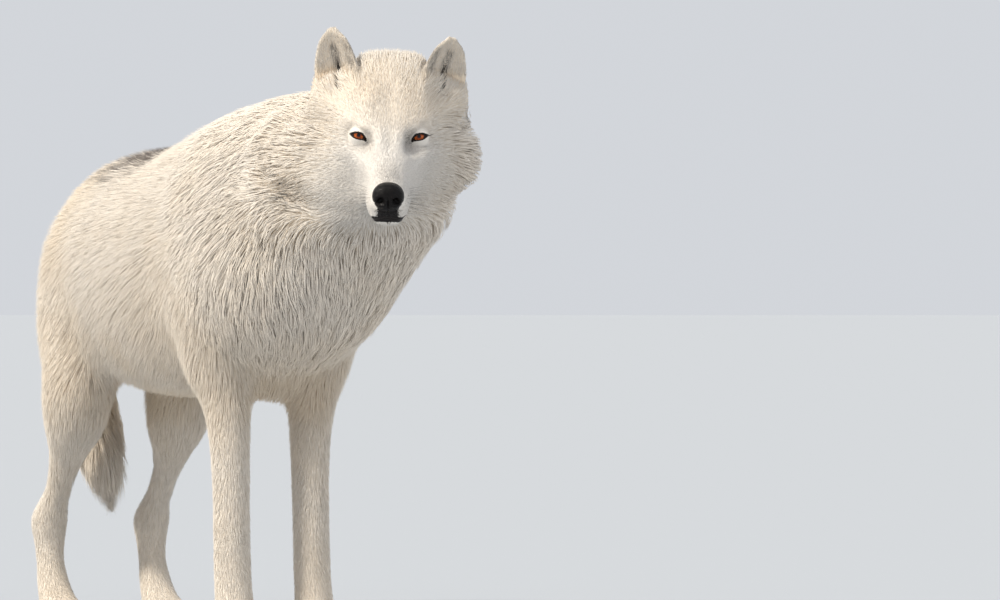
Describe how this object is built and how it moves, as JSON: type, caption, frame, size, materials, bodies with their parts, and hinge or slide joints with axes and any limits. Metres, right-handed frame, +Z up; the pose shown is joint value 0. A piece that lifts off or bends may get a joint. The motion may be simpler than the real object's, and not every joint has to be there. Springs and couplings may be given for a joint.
{
  "type": "arctic wolf",
  "caption": "Life-size still model of an arctic wolf standing in its winter coat, head turned to its right.",
  "frame": {"origin": "on the floor, under the middle of the whole outline", "axes": "+X the way the trunk faces, +Y the wolf's left, +Z up"},
  "size_m": [1.4064, 0.3682, 0.9235],
  "materials": {
    "coat": "long, dense, cream-white winter fur with peach underfur and a dark-tipped saddle",
    "ear_coat": "short cream fur with a greyer, darker edge",
    "nose_skin": "moist black pebbled nose skin",
    "eye": "amber iris with a dark pupil under a clear, wet surface",
    "claw": "dark horn, worn paler at the tips"
  },
  "bodies": {
    "root": {"claw_forepaw_left_1": "claw", "claw_forepaw_left_2": "claw", "claw_forepaw_left_3": "claw", "claw_forepaw_left_4": "claw", "claw_forepaw_right_1": "claw", "claw_forepaw_right_2": "claw", "claw_forepaw_right_3": "claw", "claw_forepaw_right_4": "claw", "claw_hindpaw_left_1": "claw", "claw_hindpaw_left_2": "claw", "claw_hindpaw_left_3": "claw", "claw_hindpaw_left_4": "claw", "claw_hindpaw_right_1": "claw", "claw_hindpaw_right_2": "claw", "claw_hindpaw_right_3": "claw", "claw_hindpaw_right_4": "claw", "ear_left": "ear_coat", "ear_right": "ear_coat", "eye_left": "eye", "eye_right": "eye", "forearm_left": "coat", "forearm_right": "coat", "forepaw_left": "coat", "forepaw_right": "coat", "head": "coat", "hindpaw_left": "coat", "hindpaw_right": "coat", "jaw": "coat", "metatarsus_left": "coat", "metatarsus_right": "coat", "neck": "coat", "nose": "nose_skin", "shank_left": "coat", "shank_right": "coat", "tail_end": "coat", "tail_root": "coat", "thigh_left": "coat", "thigh_right": "coat", "trunk": "coat", "upperarm_left": "coat", "upperarm_right": "coat"}
  },
  "joints": []
}
